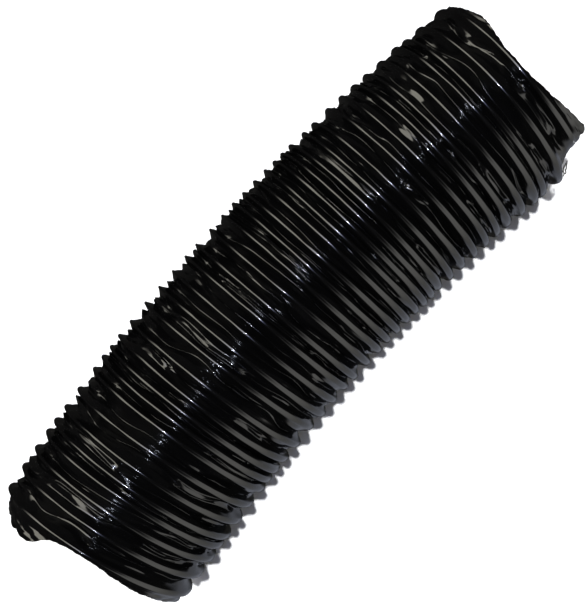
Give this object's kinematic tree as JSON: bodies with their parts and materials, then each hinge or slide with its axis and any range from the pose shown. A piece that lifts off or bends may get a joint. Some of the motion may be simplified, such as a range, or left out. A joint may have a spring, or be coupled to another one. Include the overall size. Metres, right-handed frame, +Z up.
{
  "type": "flexible air duct",
  "caption": "Short cut length of glossy black flexible air duct: slack film plies over a continuous steel wire helix, raw cut at both ends, lying in a gentle arc.",
  "frame": {"origin": "on the floor under the middle of the duct's outline, at rest", "axes": "+X along the duct, +Y toward the outside of its gentle arc, +Z up"},
  "size_m": [0.3446, 0.119, 0.108],
  "materials": {
    "outer_film": "thin glossy black coated film, slack and creased between the ribs",
    "inner_film": "black film, less glossy than the outside",
    "galvanised_wire": "galvanised spring-steel wire"
  },
  "bodies": {
    "turn_01": {"wire_turn_01": "galvanised_wire", "outer_film_01": "outer_film"},
    "turn_02": {"wire_turn_02": "galvanised_wire"},
    "turn_03": {"wire_turn_03": "galvanised_wire", "inner_film_01": "inner_film"},
    "turn_04": {"wire_turn_04": "galvanised_wire", "outer_film_02": "outer_film"},
    "turn_05": {"wire_turn_05": "galvanised_wire"},
    "turn_06": {"wire_turn_06": "galvanised_wire"},
    "turn_07": {"wire_turn_07": "galvanised_wire", "outer_film_03": "outer_film"},
    "turn_08": {"wire_turn_08": "galvanised_wire", "inner_film_02": "inner_film"},
    "turn_09": {"wire_turn_09": "galvanised_wire"},
    "turn_10": {"wire_turn_10": "galvanised_wire", "outer_film_04": "outer_film"},
    "turn_11": {"wire_turn_11": "galvanised_wire"},
    "turn_12": {"wire_turn_12": "galvanised_wire"},
    "turn_13": {"wire_turn_13": "galvanised_wire", "outer_film_05": "outer_film", "inner_film_03": "inner_film"},
    "turn_14": {"wire_turn_14": "galvanised_wire"},
    "turn_15": {"wire_turn_15": "galvanised_wire"},
    "turn_16": {"wire_turn_16": "galvanised_wire", "outer_film_06": "outer_film"},
    "turn_17": {"wire_turn_17": "galvanised_wire"},
    "turn_18": {"wire_turn_18": "galvanised_wire"},
    "turn_19": {"wire_turn_19": "galvanised_wire", "outer_film_07": "outer_film", "inner_film_04": "inner_film"},
    "turn_20": {"wire_turn_20": "galvanised_wire"},
    "turn_21": {"wire_turn_21": "galvanised_wire"},
    "turn_22": {"wire_turn_22": "galvanised_wire", "outer_film_08": "outer_film"},
    "turn_23": {"wire_turn_23": "galvanised_wire"},
    "turn_24": {"wire_turn_24": "galvanised_wire"},
    "turn_25": {"wire_turn_25": "galvanised_wire", "outer_film_09": "outer_film", "inner_film_05": "inner_film"},
    "turn_26": {"wire_turn_26": "galvanised_wire"},
    "turn_27": {"wire_turn_27": "galvanised_wire"},
    "turn_28": {"wire_turn_28": "galvanised_wire", "outer_film_10": "outer_film"},
    "turn_29": {"wire_turn_29": "galvanised_wire"},
    "turn_30": {"wire_turn_30": "galvanised_wire", "inner_film_06": "inner_film"},
    "turn_31": {"wire_turn_31": "galvanised_wire", "outer_film_11": "outer_film"},
    "turn_32": {"wire_turn_32": "galvanised_wire"},
    "turn_33": {"wire_turn_33": "galvanised_wire"},
    "turn_34": {"wire_turn_34": "galvanised_wire", "outer_film_12": "outer_film"},
    "turn_35": {"wire_turn_35": "galvanised_wire", "inner_film_07": "inner_film"},
    "turn_36": {"wire_turn_36": "galvanised_wire"},
    "turn_37": {"wire_turn_37": "galvanised_wire", "outer_film_13": "outer_film"}
  },
  "joints": [
    {"name": "side_bend_19", "type": "hinge", "parent": "turn_19", "child": "turn_20", "pos_m": [0.01821, 0.00539, 0.054], "axis": [0.012, -0.0002, 0.9999], "range_deg": [-4.6, 4.6], "deforming": ["outer_film_07", "inner_film_04"]},
    {"name": "up_bend_20", "type": "hinge", "parent": "turn_20", "child": "turn_21", "pos_m": [0.02571, 0.00527, 0.054], "axis": [-0.0204, -0.9998, 0], "range_deg": [-4.6, 4.6]},
    {"name": "stretch_21", "type": "slide", "parent": "turn_21", "child": "turn_22", "axis": [0.9996, -0.0276, 0], "range_m": [-0.0043, 0.0024], "deforming": ["outer_film_08"]},
    {"name": "side_bend_22", "type": "hinge", "parent": "turn_22", "child": "turn_23", "pos_m": [0.04045, 0.00486, 0.054], "axis": [0.012, -0.0004, 0.9999], "range_deg": [-4.15, 4.15]},
    {"name": "up_bend_23", "type": "hinge", "parent": "turn_23", "child": "turn_24", "pos_m": [0.0472, 0.0046, 0.054], "axis": [-0.0411, -0.9992, 0], "range_deg": [-3.7, 3.7]},
    {"name": "stretch_24", "type": "slide", "parent": "turn_24", "child": "turn_25", "axis": [0.9989, -0.0469, 0], "range_m": [-0.00262, 0.00146], "deforming": ["outer_film_09", "inner_film_05"]},
    {"name": "stretch_25", "type": "slide", "parent": "turn_25", "child": "turn_26", "axis": [0.9986, -0.0526, 0], "range_m": [-0.00346, 0.00193]},
    {"name": "up_bend_26", "type": "hinge", "parent": "turn_26", "child": "turn_27", "pos_m": [0.06617, 0.00365, 0.054], "axis": [-0.0593, -0.9982, 0], "range_deg": [-4.6, 4.6]},
    {"name": "side_bend_27", "type": "hinge", "parent": "turn_27", "child": "turn_28", "pos_m": [0.0739, 0.00316, 0.054], "axis": [0.012, -0.0008, 0.9999], "range_deg": [-5.05, 5.05], "deforming": ["outer_film_10"]},
    {"name": "side_bend_28", "type": "hinge", "parent": "turn_28", "child": "turn_29", "pos_m": [0.08263, 0.00254, 0.054], "axis": [0.012, -0.0009, 0.9999], "range_deg": [-6.41, 6.41]},
    {"name": "up_bend_29", "type": "hinge", "parent": "turn_29", "child": "turn_30", "pos_m": [0.09161, 0.00183, 0.054], "axis": [-0.0838, -0.9965, 0], "range_deg": [-5.5, 5.5], "deforming": ["inner_film_06"]},
    {"name": "stretch_30", "type": "slide", "parent": "turn_30", "child": "turn_31", "axis": [0.9958, -0.0919, 0], "range_m": [-0.00515, 0.00287], "deforming": ["outer_film_11"]},
    {"name": "stretch_31", "type": "slide", "parent": "turn_31", "child": "turn_32", "axis": [0.995, -0.0996, 0], "range_m": [-0.0043, 0.0024]},
    {"name": "up_bend_32", "type": "hinge", "parent": "turn_32", "child": "turn_33", "pos_m": [0.11649, -0.00057, 0.054], "axis": [-0.1077, -0.9942, 0], "range_deg": [-6.22, 6.22]},
    {"name": "side_bend_33", "type": "hinge", "parent": "turn_33", "child": "turn_34", "pos_m": [0.12618, -0.00166, 0.054], "axis": [0.0119, -0.0014, 0.9999], "range_deg": [-5.55, 5.55], "deforming": ["outer_film_12"]},
    {"name": "stretch_34", "type": "slide", "parent": "turn_34", "child": "turn_35", "axis": [0.9922, -0.1244, 0], "range_m": [-0.00262, 0.00146], "deforming": ["inner_film_07"]},
    {"name": "up_bend_35", "type": "hinge", "parent": "turn_35", "child": "turn_36", "pos_m": [0.1418, -0.00363, 0.054], "axis": [-0.1321, -0.9912, 0], "range_deg": [-5.77, 5.77]},
    {"name": "side_bend_36", "type": "hinge", "parent": "turn_36", "child": "turn_37", "pos_m": [0.15369, -0.00528, 0.054], "axis": [0.0119, -0.0017, 0.9999], "range_deg": [-7.22, 7.22], "deforming": ["outer_film_13"]},
    {"name": "up_bend_18", "type": "hinge", "parent": "turn_19", "child": "turn_18", "pos_m": [0.00996, 0.00547, 0.054], "axis": [0.0053, 1, 0], "range_deg": [-5.95, 5.95]},
    {"name": "side_bend_17", "type": "hinge", "parent": "turn_18", "child": "turn_17", "pos_m": [0.00046, 0.00548, 0.054], "axis": [-0.012, 0, -0.9999], "range_deg": [-6.45, 6.45]},
    {"name": "stretch_16", "type": "slide", "parent": "turn_17", "child": "turn_16", "axis": [-0.9999, -0.0123, 0], "range_m": [-0.0043, 0.0024], "deforming": ["outer_film_06"]},
    {"name": "stretch_15", "type": "slide", "parent": "turn_16", "child": "turn_15", "axis": [-0.9998, -0.0204, 0], "range_m": [-0.00582, 0.00325]},
    {"name": "side_bend_14", "type": "hinge", "parent": "turn_15", "child": "turn_14", "pos_m": [-0.02654, 0.00502, 0.054], "axis": [-0.012, -0.0004, -0.9999], "range_deg": [-6.86, 6.86]},
    {"name": "up_bend_13", "type": "hinge", "parent": "turn_14", "child": "turn_13", "pos_m": [-0.03653, 0.00468, 0.054], "axis": [-0.0394, 0.9992, 0], "range_deg": [-6.86, 6.86], "deforming": ["outer_film_05", "inner_film_03"]},
    {"name": "side_bend_12", "type": "hinge", "parent": "turn_13", "child": "turn_12", "pos_m": [-0.04727, 0.0042, 0.054], "axis": [-0.012, -0.0006, -0.9999], "range_deg": [-7.22, 7.22]},
    {"name": "up_bend_11", "type": "hinge", "parent": "turn_12", "child": "turn_11", "pos_m": [-0.05776, 0.00362, 0.054], "axis": [-0.0598, 0.9982, 0], "range_deg": [-6.22, 6.22]},
    {"name": "stretch_10", "type": "slide", "parent": "turn_11", "child": "turn_10", "axis": [-0.9977, -0.068, 0], "range_m": [-0.0043, 0.0024], "deforming": ["outer_film_04"]},
    {"name": "stretch_09", "type": "slide", "parent": "turn_10", "child": "turn_09", "axis": [-0.9972, -0.0744, 0], "range_m": [-0.00304, 0.0017]},
    {"name": "up_bend_08", "type": "hinge", "parent": "turn_09", "child": "turn_08", "pos_m": [-0.0792, 0.00211, 0.054], "axis": [-0.0804, 0.9968, 0], "range_deg": [-3.7, 3.7], "deforming": ["inner_film_02"]},
    {"name": "side_bend_07", "type": "hinge", "parent": "turn_08", "child": "turn_07", "pos_m": [-0.08817, 0.00135, 0.054], "axis": [-0.012, -0.0011, -0.9999], "range_deg": [-6.68, 6.68], "deforming": ["outer_film_03"]},
    {"name": "side_bend_06", "type": "hinge", "parent": "turn_07", "child": "turn_06", "pos_m": [-0.09912, 0.00031, 0.054], "axis": [-0.0119, -0.0012, -0.9999], "range_deg": [-7.22, 7.22]},
    {"name": "up_bend_05", "type": "hinge", "parent": "turn_06", "child": "turn_05", "pos_m": [-0.10931, -0.00076, 0.054], "axis": [-0.1094, 0.994, 0], "range_deg": [-5.77, 5.77]},
    {"name": "stretch_04", "type": "slide", "parent": "turn_05", "child": "turn_04", "axis": [-0.9931, -0.117, 0], "range_m": [-0.00304, 0.0017], "deforming": ["outer_film_02"]},
    {"name": "stretch_03", "type": "slide", "parent": "turn_04", "child": "turn_03", "axis": [-0.9923, -0.124, 0], "range_m": [-0.00477, 0.00266], "deforming": ["inner_film_01"]},
    {"name": "up_bend_02", "type": "hinge", "parent": "turn_03", "child": "turn_02", "pos_m": [-0.13413, -0.00379, 0.054], "axis": [-0.1333, 0.9911, 0], "range_deg": [-7.22, 7.22]},
    {"name": "side_bend_01", "type": "hinge", "parent": "turn_02", "child": "turn_01", "pos_m": [-0.14552, -0.00539, 0.054], "axis": [-0.0119, -0.0017, -0.9999], "range_deg": [-7.22, 7.22], "deforming": ["outer_film_01"]}
  ],
  "couplings": [
    {"joint": "side_bend_22", "follows": "side_bend_19", "ratio": 0.902},
    {"joint": "up_bend_23", "follows": "up_bend_20", "ratio": 0.8039},
    {"joint": "stretch_24", "follows": "stretch_21", "ratio": 0.6078},
    {"joint": "stretch_25", "follows": "stretch_21", "ratio": 0.8039},
    {"joint": "up_bend_26", "follows": "up_bend_20", "ratio": 1},
    {"joint": "side_bend_27", "follows": "side_bend_19", "ratio": 1.098},
    {"joint": "side_bend_28", "follows": "side_bend_19", "ratio": 1.3922},
    {"joint": "up_bend_29", "follows": "up_bend_20", "ratio": 1.1961},
    {"joint": "stretch_30", "follows": "stretch_21", "ratio": 1.1961},
    {"joint": "stretch_31", "follows": "stretch_21", "ratio": 1},
    {"joint": "up_bend_32", "follows": "up_bend_20", "ratio": 1.3529},
    {"joint": "side_bend_33", "follows": "side_bend_19", "ratio": 1.2059},
    {"joint": "stretch_34", "follows": "stretch_21", "ratio": 0.6078},
    {"joint": "up_bend_35", "follows": "up_bend_20", "ratio": 1.2549},
    {"joint": "side_bend_36", "follows": "side_bend_19", "ratio": 1.5686},
    {"joint": "up_bend_18", "follows": "up_bend_20", "ratio": 1.2941},
    {"joint": "side_bend_17", "follows": "side_bend_19", "ratio": 1.402},
    {"joint": "stretch_16", "follows": "stretch_21", "ratio": 1},
    {"joint": "stretch_15", "follows": "stretch_21", "ratio": 1.3529},
    {"joint": "side_bend_14", "follows": "side_bend_19", "ratio": 1.4902},
    {"joint": "up_bend_13", "follows": "up_bend_20", "ratio": 1.4902},
    {"joint": "side_bend_12", "follows": "side_bend_19", "ratio": 1.5686},
    {"joint": "up_bend_11", "follows": "up_bend_20", "ratio": 1.3529},
    {"joint": "stretch_10", "follows": "stretch_21", "ratio": 1},
    {"joint": "stretch_09", "follows": "stretch_21", "ratio": 0.7059},
    {"joint": "up_bend_08", "follows": "up_bend_20", "ratio": 0.8039},
    {"joint": "side_bend_07", "follows": "side_bend_19", "ratio": 1.451},
    {"joint": "side_bend_06", "follows": "side_bend_19", "ratio": 1.5686},
    {"joint": "up_bend_05", "follows": "up_bend_20", "ratio": 1.2549},
    {"joint": "stretch_04", "follows": "stretch_21", "ratio": 0.7059},
    {"joint": "stretch_03", "follows": "stretch_21", "ratio": 1.1078},
    {"joint": "up_bend_02", "follows": "up_bend_20", "ratio": 1.5686},
    {"joint": "side_bend_01", "follows": "side_bend_19", "ratio": 1.5686}
  ]
}
